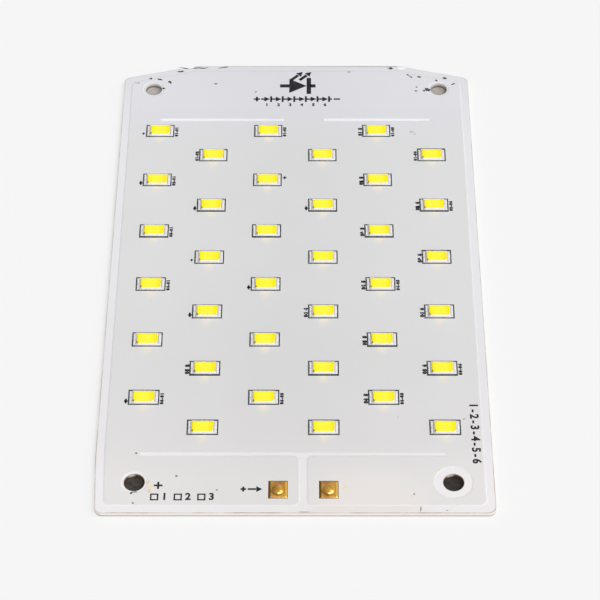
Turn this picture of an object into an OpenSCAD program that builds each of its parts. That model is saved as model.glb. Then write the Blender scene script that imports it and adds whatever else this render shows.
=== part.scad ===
// Flat LED array board: a punched aluminium plate with an insulating layer, a copper
// circuit and a white solder mask, carrying rows of side-by-side surface-mount LEDs.
// Each string of LEDs zigzags over two rows, from the plus bus on the left edge to the
// minus bus on the right edge, and both buses end in a wire pad at the bottom edge.
// Origin: centre of the plate's underside. +Z out of the lit face, +Y towards the end
// with the sloped corners. Millimetres.

/* [LED layout] */
// Number of LED columns across the board
led_columns = 6; // [4:1:6]
// Number of strings up the board, two rows each
led_strings = 6; // [3:1:6]

/* [Plate] */
// Width of the plate
plate_w = 80.4; // [70:0.1:110]
// Length of the plate
plate_l = 128.05; // [110:0.05:180]
// From the left edge to the first column
left_margin = 9.05; // [7.5:0.05:14]
// From the right edge to the last column
right_margin = 9.35; // [7.5:0.05:14]
// From the top edge to the first row
top_margin = 21.75; // [18:0.05:40]
// From the bottom edge to the last row
bottom_margin = 21.05; // [18:0.05:40]
// Radius of the plate's corners
corner_r = 1.5; // [0.5:0.1:4]
// Length across the board of each sloped top corner
slope_run = 16.5; // [6:0.1:24]
// Drop of each sloped top corner
slope_drop = 4.2; // [1:0.1:6]
// How far the left edge leans in at its bottom corner
left_lean = 0.6; // [0.05:0.05:1]
// Length of the edge that leans in
left_lean_l = 14; // [6:0.5:30]
// Thickness of the aluminium
base_t = 1; // [0.6:0.1:3]
// Width of the scar that each break-off tab left in the edge
tab_scar_w = 2.4; // [1:0.1:4]
// Depth of the left scar
left_scar_depth = 0.5; // [0.2:0.05:1.2]
// Depth of the right scar
right_scar_depth = 1.05; // [0.2:0.05:1.2]

/* [Screw holes] */
// Diameter of the two holes at the top
top_hole_d = 3.8; // [2:0.1:4.5]
// Diameter of the two holes at the bottom
bottom_hole_d = 4.2; // [2:0.1:4.5]
// From the side edge to a top hole
top_hole_side = 6.9; // [6:0.1:9]
// From the top edge to a top hole
top_hole_end = 7.9; // [7:0.1:11]
// From the side edge to a bottom hole
bottom_hole_side = 8.2; // [6:0.1:10]
// From the bottom edge to a bottom hole
bottom_hole_end = 7.4; // [6:0.1:10]
// Copper kept back around each hole
hole_clearance = 0.6; // [0.4:0.05:2]
// Copper kept back around the hole at the bottom right
wide_clearance = 1.85; // [0.5:0.05:2.5]

/* [Circuit layers] */
// Thickness of the insulating layer
dielectric_t = 0.1; // [0.05:0.01:0.3]
// Thickness of the copper
copper_t = 0.07; // [0.03:0.005:0.2]
// Thickness of the solder mask
mask_t = 0.03; // [0.01:0.005:0.08]
// Mask kept back from the plate's edge
mask_inset = 0.15; // [0.05:0.05:0.5]
// Mask kept back from the rim of each hole
mask_hole_gap = 0.1; // [0.05:0.01:0.3]
// Copper kept back from the plate's edge
copper_inset = 1.9; // [1:0.1:3]
// Gap between neighbouring copper islands
copper_gap = 0.4; // [0.2:0.05:0.6]
// Gap that frames the LED field at its top and bottom
groove_w = 0.9; // [0.6:0.05:1.5]
// How far the mask laps past the copper's edge
mask_lap = 0.12; // [0.05:0.01:0.2]
// How far the split between the two buses sits to the right of the middle
bus_split = 1.9; // [-6:0.1:6]
// From the first row to the top groove
top_groove = 3.7; // [3.5:0.1:7]
// From the last row to the bottom groove
bottom_groove = 6.7; // [3.5:0.1:9]
// Stretch of the top groove, round the split, that the mask levels out
groove_bridge = 9.2; // [2:0.1:16]

/* [Wire pads] */
// Size of a wire pad across the board
wire_pad_w = 3.65; // [2.8:0.05:5]
// Size of a wire pad along the board
wire_pad_l = 4.1; // [2.8:0.05:5]
// Height of a pad's square foot
wire_pad_h = 0.2; // [0.1:0.01:0.5]
// Width of the slope round the foot
wire_pad_slope = 0.35; // [0.1:0.05:0.5]
// Diameter of the round dome on the foot
wire_pad_dome_d = 2.5; // [1.2:0.05:2.7]
// Rise of that dome
wire_pad_dome_h = 0.4; // [0.1:0.01:0.5]
// Distance between the two pads
wire_pad_pitch = 10.16; // [8:0.01:16]
// From the bottom edge to the middle of the pads
wire_pad_end = 5.6; // [4.6:0.1:10]
// Bare copper around each pad
wire_pad_gap = 0.12; // [0.05:0.01:0.3]
// Width of the bare strip between the two buses at the bottom
strip_w = 1.8; // [0.6:0.1:3]
// Radius of the mask's corners at both ends of that strip
strip_r = 1.2; // [0.4:0.1:2]

/* [LED package] */
// Length of the moulded housing
package_l = 4.9; // [4.9:0.05:5.4]
// Width of the moulded housing
package_w = 2.93; // [2.9:0.01:3.6]
// Height of the moulded housing
package_h = 0.6; // [0.5:0.05:1.2]
// How far each long side of the housing leans in
package_draft = 0.06; // [0:0.01:0.1]
// How far each end of the housing leans in
end_draft = 0.15; // [0:0.01:0.15]
// Length of the window at the top of the cup
window_l = 4.5; // [3.9:0.05:4.5]
// Width of the window at the top of the cup
window_w = 2.65; // [2:0.01:2.65]
// How far the window sits towards the anode
window_shift = 0.02; // [0:0.01:0.04]
// Corner radius of the window
window_r = 0.15; // [0.05:0.01:0.4]
// Cut corner of the window, which marks the cathode
cathode_mark = 0.4; // [0.2:0.05:0.8]
// How far each cup wall leans in on the way down
cup_lean = 0.3; // [0.05:0.05:0.4]
// Depth of the phosphor fill's face below the rim
fill_recess = 0.03; // [0.01:0.01:0.1]

/* [Leads and die] */
// How far a lead reaches past the housing
lead_reach = 0.4; // [0.2:0.01:0.7]
// Width of a lead
lead_w = 2.6; // [1:0.05:2.7]
// Thickness of a lead
lead_t = 0.15; // [0.1:0.01:0.2]
// How far the cathode lead reaches past the middle of the package, under the die
cathode_overlap = 0.5; // [0.3:0.05:0.7]
// Gap between the two leads
lead_gap = 0.4; // [0.2:0.05:0.6]
// Radius of the notch in a lead's free end
lead_notch_r = 0.22; // [0.1:0.01:0.35]
// Length of the die
die_l = 0.76; // [0.4:0.01:1]
// Width of the die
die_w = 0.38; // [0.2:0.01:1]
// Height of the die
die_h = 0.12; // [0.08:0.01:0.15]
// How far the die sits from the middle, towards the cathode
die_x = 0.35; // [0:0.05:0.5]
// Section of a bond wire
wire_d = 0.03; // [0.02:0.005:0.05]
// Length of the flat foot at each end of a bond wire
wire_foot = 0.1; // [0.05:0.01:0.15]
// Height of a bond wire's loop
wire_loop = 0.1; // [0.05:0.01:0.12]

/* [Solder and legend] */
// Thickness of the solder under a lead
solder_t = 0.03; // [0.02:0.005:0.1]
// Leg of the solder fillet at a lead's end
fillet_leg = 0.08; // [0.05:0.01:0.15]
// Length of the solder under a lead
land_l = 1.9; // [1:0.1:2.2]
// Solder showing past each side of a lead
land_side = 0.1; // [0.05:0.01:0.3]
// Mask kept back from the solder
land_gap = 0.02; // [0.01:0.005:0.1]
// Width of the printed line
ink_w = 0.26; // [0.1:0.01:0.4]
// Thickness of the ink
ink_t = 0.02; // [0.01:0.005:0.05]
// Space from the housing's long side to the printed line
ink_side = 0.22; // [0.14:0.01:0.4]
// How far the printed frame sits towards the top end
ink_shift = 0.1; // [0:0.01:0.12]

/* [Hidden] */
$fn = 48;

led_count = led_columns * led_strings;
rows_per_string = 2;
led_rows = rows_per_string * led_strings;
column_pitch = (plate_w - left_margin - right_margin) / (led_columns - 1);
row_pitch = (plate_l - top_margin - bottom_margin) / (led_rows - 1);

// Heights of the layers, from the underside up
dielectric_z = base_t;
copper_z = dielectric_z + dielectric_t;
mask_top_z = copper_z + copper_t + mask_t;
package_z = copper_z + copper_t + solder_t;
floor_z = package_z + lead_t;
fill_h = package_h - lead_t - fill_recess;

// Lines of the copper pattern
top_groove_y = row_y(0) + top_groove;
bottom_groove_y = row_y(led_rows - 1) - bottom_groove;
wire_pad_y = -plate_l / 2 + wire_pad_end;

// Lead frame, measured from the middle of a package
lead_end = package_l / 2 + lead_reach;
cathode_inner = -cathode_overlap;
anode_inner = cathode_inner - lead_gap;
anode_bond_x = (anode_inner - window_shift - window_l / 2 + cup_lean) / 2;
cathode_bond_x = (die_x + die_l / 2 - window_shift + window_l / 2 - cup_lean) / 2;
wire_steps = 6;

// Solder lands and the printed frame round a package
land_end = lead_end + fillet_leg;
land_w = lead_w + 2 * land_side;
frame_l = 2 * (land_end + 2 * land_gap + ink_w);
frame_w = package_w + 2 * (ink_side + ink_w);

// Overshoot that keeps a cutter's faces off the faces of what it cuts
cut = 0.01;

function housing_name(n) = str("led_housing_", n < 10 ? "0" : "", n);
function unit(v) = v / norm(v);
function column_x(k) = -plate_w / 2 + left_margin + k * column_pitch;
function row_y(r) = plate_l / 2 - top_margin - r * row_pitch;
function first_row(s) = s * rows_per_string;

// Place of LED n, counted from 0 along each string, left to right
function led_at(n) =
    let (s = floor(n / led_columns), k = n % led_columns)
    [column_x(k), row_y(first_row(s) + k % rows_per_string)];

// Places of the four screw holes, each with its diameter and the clearance of its copper
function screw_holes() = concat(
    [for (side = [-1, 1])
        [side * (plate_w / 2 - top_hole_side), plate_l / 2 - top_hole_end, top_hole_d, hole_clearance]],
    [for (side = [-1, 1])
        [side * (plate_w / 2 - bottom_hole_side), -plate_l / 2 + bottom_hole_end, bottom_hole_d,
         side < 0 ? hole_clearance : wide_clearance]]
);

// Corners of the plate's outline, from the bottom left round to the right
plate_corners =
    let (x = plate_w / 2, y = plate_l / 2)
    [[-x + left_lean, -y], [x, -y], [x, y - slope_drop], [x - slope_run, y],
     [slope_run - x, y], [-x, y - slope_drop], [-x, left_lean_l - y]];

// The same corners with every edge moved in by inset
function inset_corners(inset) =
    let (last = len(plate_corners) - 1)
    [for (i = [0:last])
        let (
            here = plate_corners[i],
            before = inward(plate_corners[i == 0 ? last : i - 1], here),
            after = inward(here, plate_corners[i == last ? 0 : i + 1])
        )
        here + inset * (before + after) / (1 + before * after)];

// Unit vector into the plate from the edge between two corners
function inward(from, to) = unit([from.y - to.y, to.x - from.x]);

// Convex outline with true round corners
module rounded_outline(corners, radius) {
    last = len(corners) - 1;
    turns = [for (i = [0:last])
        let (
            here = corners[i],
            back = unit(corners[i == 0 ? last : i - 1] - here),
            ahead = unit(corners[i == last ? 0 : i + 1] - here),
            half = acos(back * ahead) / 2
        )
        [here + back * radius / tan(half),
         here + ahead * radius / tan(half),
         here + unit(back + ahead) * radius / sin(half)]];
    polygon([for (t = turns) each [t[0], t[1]]]);
    for (t = turns) translate(t[2]) circle(radius);
}

module rounded_rectangle(l, w, r) {
    square([l - 2 * r, w], center = true);
    square([l, w - 2 * r], center = true);
    for (x = [-1, 1], y = [-1, 1])
        translate([x * (l / 2 - r), y * (w / 2 - r)]) circle(r);
}

// Block with four flat leaning sides, from a base size to a top size
module leaning_block(base, top, h) {
    intersection() {
        rotate([90, 0, 0]) linear_extrude(2 * base.y, center = true)
            side_profile(base.x, top.x, h);
        rotate([90, 0, 90]) linear_extrude(2 * base.x, center = true)
            side_profile(base.y, top.y, h);
    }
}

module side_profile(base, top, h) {
    polygon([[-base / 2, 0], [base / 2, 0], [top / 2, h], [-top / 2, h]]);
}

// Rectangle between two corners
module area(low, high) {
    translate(low) square(high - low);
}

module at_each_led(z) {
    for (n = [0:led_count - 1])
        translate([each led_at(n), z]) children();
}

module hole_outlines(growth) {
    for (h = screw_holes())
        translate([h.x, h.y]) circle(d = h.z + 2 * growth);
}

// Rings round the holes that copper keeps out of, narrowed all round
module hole_rings(inset) {
    for (h = screw_holes())
        translate([h.x, h.y]) circle(d = h.z + 2 * (h[3] - inset));
}

// Scar of one break-off tab, just past the end of the top edge
module tab_scar(side, depth, growth) {
    scar_r = (pow(tab_scar_w / 2, 2) + pow(depth, 2)) / (2 * depth);
    along = unit([slope_run, -slope_drop]);
    outward = unit([slope_drop, slope_run]);
    middle = [plate_w / 2 - slope_run, plate_l / 2] + along * tab_scar_w / 2
        + outward * (scar_r - depth);
    translate([side * middle.x, middle.y]) circle(scar_r + growth);
}

module plate_outline(inset) {
    difference() {
        rounded_outline(inset_corners(inset), corner_r);
        hole_outlines(0);
        tab_scar(-1, left_scar_depth, inset);
        tab_scar(1, right_scar_depth, inset);
    }
}

module base_plate() {
    color("silver") linear_extrude(base_t) plate_outline(0);
}

module dielectric_layer() {
    color("burlywood") translate([0, 0, dielectric_z]) linear_extrude(dielectric_t) plate_outline(0);
}

// All the area that may hold copper
module copper_field() {
    difference() {
        rounded_outline(inset_corners(copper_inset), corner_r);
        hole_rings(0);
    }
}

// One bus: a side rail with a field at the top and a pad field at the bottom.
// side is -1 for the plus bus on the left and 1 for the minus bus on the right.
module bus_outline(side) {
    rail_x = side * column_x(side < 0 ? 0 : led_columns - 1) + copper_gap / 2;
    split_x = side * bus_split;
    difference() {
        intersection() {
            copper_field();
            scale([side, 1]) union() {
                area([rail_x, -plate_l / 2], [plate_w / 2, plate_l / 2]);
                area([split_x + copper_gap / 2, top_groove_y + groove_w / 2], [plate_w / 2, plate_l / 2]);
                area([split_x + strip_w / 2, -plate_l / 2], [plate_w / 2, bottom_groove_y - groove_w / 2]);
            }
        }
        strip_corners(side, 0);
    }
}

// Waste outside the rounded corners of one bus at the strip, grown all round
module strip_corners(side, growth) {
    r = strip_r - mask_lap + growth;
    x = bus_split + side * (strip_w / 2 - growth);
    corner_waste([x, bottom_groove_y - groove_w / 2 + growth], [side, -1], r);
    corner_waste([x, -plate_l / 2 + copper_inset - growth], [side, 1], r);
}

// What rounding takes off a corner whose piece lies on the given side of it
module corner_waste(at, way, r) {
    translate(at) scale(way) difference() {
        translate(-cut * [1, 1]) square(r + cut);
        translate(r * [1, 1]) circle(r);
    }
}

// Line between string s and the one above it
function string_split_y(s) = row_y(first_row(s)) + row_pitch / 2;

// Copper between the neighbouring LEDs of string s, counted from 0 at the top
module string_outline(s) {
    high = s == 0 ? top_groove_y - groove_w / 2 : string_split_y(s) - copper_gap / 2;
    low = s == led_strings - 1 ? bottom_groove_y + groove_w / 2 : string_split_y(s + 1) + copper_gap / 2;
    for (k = [0:led_columns - 2])
        area([column_x(k) + copper_gap / 2, low], [column_x(k + 1) - copper_gap / 2, high]);
}

module copper(z, h) {
    color("chocolate") translate([0, 0, z]) linear_extrude(h) children();
}

module bus(side) {
    copper(copper_z, copper_t) bus_outline(side);
}

module string_copper(s) {
    copper(copper_z, copper_t) string_outline(s);
}

// Where the mask rides over copper. Narrow gaps fill up level, and the wide ones show.
module mask_lands() {
    groove = groove_w - 2 * mask_lap;
    strip = strip_w - 2 * mask_lap;
    first_x = column_x(0);
    last_x = column_x(led_columns - 1);
    difference() {
        rounded_outline(inset_corners(copper_inset - mask_lap), corner_r);
        hole_rings(mask_lap);
        area([first_x, top_groove_y - groove / 2],
             [bus_split - groove_bridge / 2, top_groove_y + groove / 2]);
        area([bus_split + groove_bridge / 2, top_groove_y - groove / 2],
             [last_x, top_groove_y + groove / 2]);
        area([first_x, bottom_groove_y - groove / 2], [last_x, bottom_groove_y + groove / 2]);
        area([bus_split - strip / 2, -plate_l / 2],
             [bus_split + strip / 2, bottom_groove_y + groove / 2]);
        for (side = [-1, 1]) strip_corners(side, mask_lap);
    }
}

module mask_openings() {
    hole_outlines(mask_hole_gap);
    for (n = [0:led_count - 1]) translate(led_at(n)) land_outlines(land_gap);
    for (side = [-1, 1]) translate(wire_pad_at(side))
        square([wire_pad_w, wire_pad_l] + 2 * wire_pad_gap * [1, 1], center = true);
}

module solder_mask() {
    color("whitesmoke") difference() {
        translate([0, 0, copper_z]) union() {
            linear_extrude(mask_t) plate_outline(mask_inset);
            linear_extrude(copper_t + mask_t) mask_lands();
        }
        for (side = [-1, 1]) copper(copper_z - cut, copper_t + cut) bus_outline(side);
        for (s = [0:led_strings - 1]) copper(copper_z - cut, copper_t + cut) string_outline(s);
        translate([0, 0, copper_z - cut])
            linear_extrude(copper_t + mask_t + 2 * cut) mask_openings();
    }
}

// Printed frame round every LED
module legend_frames() {
    color("black") at_each_led(mask_top_z) translate([0, ink_shift]) linear_extrude(ink_t) difference() {
        square([frame_l, frame_w], center = true);
        square([frame_l, frame_w] - 2 * ink_w * [1, 1], center = true);
    }
}

function wire_pad_at(side) = [bus_split + side * wire_pad_pitch / 2, wire_pad_y];

// Gilt pad: a square foot with sloped sides, and a round dome on it
module wire_pad(side) {
    foot = [wire_pad_w, wire_pad_l];
    head = foot - 2 * wire_pad_slope * [1, 1];
    dome_r = (pow(wire_pad_dome_d / 2, 2) + pow(wire_pad_dome_h, 2)) / (2 * wire_pad_dome_h);
    color("goldenrod") translate([each wire_pad_at(side), copper_z + copper_t]) union() {
        leaning_block(foot, head, wire_pad_h);
        translate([0, 0, wire_pad_h]) intersection() {
            translate([0, 0, wire_pad_dome_h - dome_r]) sphere(dome_r, $fn = 180);
            translate([0, 0, -cut]) cylinder(h = 2 * wire_pad_dome_h, d = 2 * wire_pad_dome_d);
        }
    }
}

// Reflector cup of a package, with one corner cut to mark the cathode
module cup(h) {
    lean = 2 * cup_lean;
    depth = package_h - lead_t;
    translate([-window_shift, 0]) intersection() {
        leaning_block([window_l - lean, window_w - lean], [window_l, window_w], depth);
        linear_extrude(h) difference() {
            rounded_rectangle(window_l, window_w, window_r);
            translate([window_l / 2, -window_w / 2]) rotate(45)
                square(cathode_mark * sqrt(2), center = true);
        }
    }
}

module led_housing() {
    color("white") difference() {
        leaning_block([package_l, package_w],
                      [package_l, package_w] - 2 * [end_draft, package_draft], package_h);
        translate([0, 0, -cut]) linear_extrude(lead_t + cut) lead_outlines();
        translate([0, 0, lead_t]) cup(package_h - lead_t + cut);
    }
}

module anode_outline() {
    difference() {
        area([-lead_end, -lead_w / 2], [anode_inner, lead_w / 2]);
        translate([-lead_end, 0]) circle(lead_notch_r);
    }
}

module cathode_outline() {
    difference() {
        area([cathode_inner, -lead_w / 2], [lead_end, lead_w / 2]);
        translate([lead_end, 0]) circle(lead_notch_r);
    }
}

module lead_outlines() {
    anode_outline();
    cathode_outline();
}

module anode_leads() {
    color("gainsboro") at_each_led(package_z) linear_extrude(lead_t) anode_outline();
}

module cathode_leads() {
    color("gainsboro") at_each_led(package_z) linear_extrude(lead_t) cathode_outline();
}

module die() {
    translate([die_x - die_l / 2, -die_w / 2, 0]) cube([die_l, die_w, die_h]);
}

module led_dies() {
    color("royalblue") at_each_led(floor_z) die();
}

// Bond wire from the die's top at start_x, over a loop, down to a lead at end_x
module bond_wire(start_x, end_x) {
    way = sign(end_x - start_x);
    loop = [for (i = [0:wire_steps])
        let (t = i / wire_steps)
        [start_x + (end_x - start_x) * t, die_h * (1 - t) + 4 * wire_loop * t * (1 - t)]];
    path = concat([[start_x - way * wire_foot, die_h]], loop, [[end_x + way * wire_foot, 0]]);
    rotate([90, 0, 0]) linear_extrude(wire_d, center = true)
        polygon(concat(path, [for (i = [len(path) - 1:-1:0]) path[i] + [0, wire_d]]));
}

module bond_wire_pair() {
    bond_wire(die_x - die_l / 2 + 2 * wire_foot, anode_bond_x);
    bond_wire(die_x + die_l / 2 - 2 * wire_foot, cathode_bond_x);
}

module bond_wires() {
    color("gold") at_each_led(floor_z) bond_wire_pair();
}

module phosphor_fills() {
    color("yellow") at_each_led(floor_z) difference() {
        cup(fill_h);
        die();
        bond_wire_pair();
    }
}

// Solder lands of one package, grown all round
module land_outlines(growth) {
    for (side = [-1, 1]) translate([side * (land_end - land_l / 2), 0])
        square([land_l, land_w] + 2 * growth * [1, 1], center = true);
}

// Solder of one package: a thin bed under each lead and a hollow fillet at its end
module solder_joint() {
    linear_extrude(solder_t) land_outlines(0);
    for (side = [-1, 1]) scale([side, 1, 1])
        translate([lead_end, 0, solder_t]) rotate([90, 0, 0])
            linear_extrude(lead_w, center = true) difference() {
                square(fillet_leg);
                translate([fillet_leg, fillet_leg]) circle(fillet_leg);
            }
}

module solder_joints() {
    color("lightgray") at_each_led(copper_z + copper_t) solder_joint();
}

base_plate();
dielectric_layer();
bus(-1);  // plus_bus
bus(1);  // minus_bus
for (s = [1:led_strings])
    string_copper(s - 1);
solder_mask();
legend_frames();
wire_pad(-1);  // plus_wire_pad
wire_pad(1);  // minus_wire_pad
for (n = [1:led_count])
    translate([each led_at(n - 1), package_z]) led_housing();
anode_leads();
cathode_leads();
led_dies();
bond_wires();
phosphor_fills();
solder_joints();
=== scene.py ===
"""LED array board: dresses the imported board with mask, LEDs, wire pads, legend, wear and a plain studio."""
import math
import random
from functools import partial

import bmesh
import bpy
from mathutils import Matrix, Vector


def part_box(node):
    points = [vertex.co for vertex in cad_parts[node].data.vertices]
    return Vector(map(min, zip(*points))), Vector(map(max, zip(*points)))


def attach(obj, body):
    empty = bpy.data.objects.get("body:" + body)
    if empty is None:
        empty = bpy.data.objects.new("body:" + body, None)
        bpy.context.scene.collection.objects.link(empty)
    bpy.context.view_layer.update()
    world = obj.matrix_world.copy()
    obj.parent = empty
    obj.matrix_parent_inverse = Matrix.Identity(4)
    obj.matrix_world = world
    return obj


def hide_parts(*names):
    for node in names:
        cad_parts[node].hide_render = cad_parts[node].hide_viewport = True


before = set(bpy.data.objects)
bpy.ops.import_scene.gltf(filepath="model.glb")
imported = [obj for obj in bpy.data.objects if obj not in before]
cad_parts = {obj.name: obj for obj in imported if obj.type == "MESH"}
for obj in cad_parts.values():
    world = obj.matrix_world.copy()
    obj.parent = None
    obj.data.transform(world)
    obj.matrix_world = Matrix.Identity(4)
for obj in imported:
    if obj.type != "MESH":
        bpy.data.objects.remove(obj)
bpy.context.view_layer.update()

bl_info = {
    "name": "LED Array Board",
    "version": (1, 0, 0),
    "blender": (4, 5, 0),
    "location": "View3D > Sidebar > LED Board",
    "description": "Dresses a packed LED array board: mask, LEDs, wire pads, legend, wear and studio",
    "category": "Object",
}

MM = 0.001
# A micrometre: the least length that counts
HAIR = 1e-6
HOUSINGS = sorted(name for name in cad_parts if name.startswith("led_housing_"))
COPPER = [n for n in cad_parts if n.endswith("_copper") or n.endswith("_bus")]


def seat(name):
    """Middle of the underside of a CAD node."""
    low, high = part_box(name)
    return Vector(((low.x + high.x) / 2, (low.y + high.y) / 2, low.z))


LED_SEATS = {name: seat(name) for name in HOUSINGS}
FIRST_LED = LED_SEATS[HOUSINGS[0]]
SECOND_LED = LED_SEATS[HOUSINGS[1]]
LAST_LED = LED_SEATS[HOUSINGS[-1]]
COLUMN_PITCH = SECOND_LED.x - FIRST_LED.x
ROW_PITCH = FIRST_LED.y - SECOND_LED.y
MASK_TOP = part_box("solder_mask")[1].z
MASK_LOW = MASK_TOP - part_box("plus_bus")[1].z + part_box("dielectric_layer")[1].z
# Radius of the plate's corners at the wire end
PLATE_ROUND = 1.5 * MM
# Middles of the two grooves that frame the LED field, just past the copper of the first and the last string
GROOVE_GAP = 0.45 * MM
GROOVES = (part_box("string_1_copper")[1].y + GROOVE_GAP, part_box("string_6_copper")[0].y - GROOVE_GAP)
# Middles of the right-hand screw holes at the wire end and at the sloped end, in millimetres
LOW_HOLE = (32.0, -56.6)
TOP_HOLE = (33.3, 56.1)
# How far the cup and its fill narrow towards their floor, all in all
CUP_TAPER = 0.6 * MM


def linear(hex_colour):
    """Linear colour, with full alpha, of an sRGB hex value."""
    shares = [int(hex_colour[i:i + 2], 16) / 255 for i in (1, 3, 5)]
    return tuple(c / 12.92 if c <= 0.04045 else ((c + 0.055) / 1.055) ** 2.4 for c in shares) + (1.0,)


def colour(name, description, hex_colour):
    """Colour property with an sRGB default."""
    return bpy.props.FloatVectorProperty(
        name=name, description=description, subtype="COLOR", size=4, min=0, max=1,
        default=linear(hex_colour))


def length(name, description, millimetres):
    """Length property with a default in millimetres."""
    return bpy.props.FloatProperty(
        name=name, description=description, unit="LENGTH", min=0, default=millimetres * MM)


class BoardMask(bpy.types.PropertyGroup):
    """Solder mask."""
    bare: colour("Bare mask", "Mask over the pale dielectric", "#EEEDF0")
    pooled: colour("Pooled mask", "Mask that pooled thick in the narrow grooves", "#FAFAFC")
    over_copper: colour("Mask over copper", "Mask where copper darkens it", "#E4E4E4")
    warm_tone: colour("Fluxed mask", "Mask under a warm film of flux in front of the minus pad", "#EBE7E5")
    glow: colour("LED glow", "Yellow light that each LED spills on the mask in front of it", "#EDE5D4")
    climb: length("Climb", "Width of the slope up onto the copper", 0.18)
    foot: length("Foot", "Width of the slope's foot beside the copper", 0.08)


class BoardLed(bpy.types.PropertyGroup):
    """LED packages."""
    housing: colour("Housing", "White moulding", "#FDFDFC")
    end_wall_shade: colour("Thin wall", "Thin, stained wall at each end of the housing", "#827F72")
    fill: colour("Fill", "Phosphor silicone in the middle of the window", "#FFF640")
    fill_end: colour("Fill ends", "Phosphor silicone at the ends of the window", "#FFEC10")
    window_round: length("Window round", "Radius of the window's corners", 0.15)
    mark: length("Cathode mark", "Leg of the window's cut corner", 0.4)
    corner_round: length("Corner round", "Radius of the housing's upright corners", 0.15)
    edge_round: length("Edge round", "Radius of the housing's top edges", 0.015)
    end_lean: length("End lean", "How far each end of the housing leans in", 0.15)
    side_lean: length("Side lean", "How far each long side of the housing leans in", 0.06)
    meniscus: length("Meniscus", "Sag of the fill from its rim to its middle", 0.025)


class BoardPad(bpy.types.PropertyGroup):
    """Gilt wire pads."""
    gilt: colour("Gilt", "Gold plate", "#FFC45A")
    clean: colour("Clean gilt", "Gold plate that kept its shine along the right edge", "#FFCB52")
    tarnish: colour("Tarnish", "Gold plate dulled by flux", "#DC943E")
    dark_reflection: colour("Burnt flux", "Brown flux at the front left of the dome", "#7A4A1C")
    foot_height: length("Foot height", "Height of the square foot", 0.2)
    foot_slope: length("Foot slope", "Width of the slope round the foot", 0.35)
    dome: length("Dome", "Diameter of the round dome", 2.5)
    ridge_round: length("Ridge round", "Radius of the foot's ridges", 0.12)


class BoardLegend(bpy.types.PropertyGroup):
    """Printed legend."""
    ink: colour("Ink", "Printed ink", "#0F0F13")
    worn_ink: colour("Worn ink", "Ink where it printed thin", "#2B2B31")
    label_height: length("Label height", "Height of the numbers beside the LEDs", 0.6)


class BoardWear(bpy.types.PropertyGroup):
    """Soot and flux on the mask."""
    soot: colour("Soot", "Dark specks", "#2E2926")
    scorch: colour("Scorch", "Paler, browner part of a speck", "#53463D")
    flux: colour("Flux", "Amber flux spots", "#DDB07C")
    thin_flux: colour("Thin flux", "Cream flux spots, where the flux is thin", "#F0DFC0")
    smear: colour("Smear", "Soot that was rubbed thin", "#6E6660")
    rubbed: colour("Rubbed", "Paler part of a smear", "#9A928C")
    seed: bpy.props.IntProperty(name="Seed", description="Start value for the specks' shapes", default=7)


class BoardStage(bpy.types.PropertyGroup):
    """Floor, lights and camera."""
    floor: colour("Floor", "Floor and backdrop", "#F6F6F6")
    lens: bpy.props.FloatProperty(
        name="Lens", description="Focal length in millimetres", subtype="DISTANCE_CAMERA", default=130.69)
    camera_place: bpy.props.FloatVectorProperty(
        name="Camera place", description="Where the camera stands", subtype="TRANSLATION", unit="LENGTH",
        default=(0.0031036, -0.3117613, 0.3569584))
    camera_turn: bpy.props.FloatVectorProperty(
        name="Camera turn", description="Turn of the camera", subtype="EULER", unit="ROTATION",
        default=(math.radians(40.4306), math.radians(0.1915), math.radians(0.1558)))
    key: bpy.props.FloatProperty(name="Key", description="Strength of the key light", min=0, default=1.45)
    soft_box: bpy.props.FloatProperty(
        name="Soft box", description="Strength of the soft box", min=0, default=0.55)


class BoardSettings(bpy.types.PropertyGroup):
    """All settings of the board."""
    mask: bpy.props.PointerProperty(type=BoardMask, name="Mask", description="Solder mask")
    led: bpy.props.PointerProperty(type=BoardLed, name="LED", description="LED packages")
    pad: bpy.props.PointerProperty(type=BoardPad, name="Pad", description="Wire pads")
    legend: bpy.props.PointerProperty(type=BoardLegend, name="Legend", description="Printed legend")
    wear: bpy.props.PointerProperty(type=BoardWear, name="Wear", description="Soot and flux")
    stage: bpy.props.PointerProperty(type=BoardStage, name="Stage", description="Floor, lights and camera")


def settings():
    """The board's settings on the scene."""
    return bpy.context.scene.led_board


# Materials

def add(tree, kind, inputs=(), **options):
    """Adds a shader node with its options, and sets or links its inputs, given by name or in their order.

    In order, a Mix node has its factor and its two inputs, and a MapRange node its value, the range that it
    comes from and the range that it goes to. A node that is given as an input stands for its result.
    """
    made = tree.nodes.new("ShaderNode" + kind)
    for name, value in options.items():
        setattr(made, name, value)
    in_order = [socket for socket in made.inputs if socket.enabled]
    for key, value in inputs.items() if isinstance(inputs, dict) else enumerate(inputs):
        socket = made.inputs[key] if isinstance(key, str) else in_order[key]
        if isinstance(value, bpy.types.Node):
            value = next(result for result in value.outputs if result.enabled)
        if isinstance(value, bpy.types.NodeSocket):
            tree.links.new(value, socket)
        else:
            socket.default_value = value
    return made


def per(millimetres):
    """Texture scale that gives a pattern this real size."""
    return 1 / (millimetres * MM)


def empty_tree(owner):
    """Node tree of a material or a world, with nothing in it yet."""
    owner.use_nodes = True
    owner.node_tree.nodes.clear()
    return owner.node_tree


def blank(name):
    """A material, the function that adds its nodes, and the place on the piece that patterns start from."""
    material = bpy.data.materials.get(name) or bpy.data.materials.new(name)
    node = partial(add, empty_tree(material))
    return material, node, node("TexCoord").outputs["Object"]


def surfaced(material, **sockets):
    """Ends a material with its shader, whose sockets are set or linked."""
    node = partial(add, material.node_tree)
    shader = node("BsdfPrincipled", {name.replace("_", " "): value for name, value in sockets.items()})
    node("OutputMaterial", {"Surface": shader})
    return material


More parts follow.
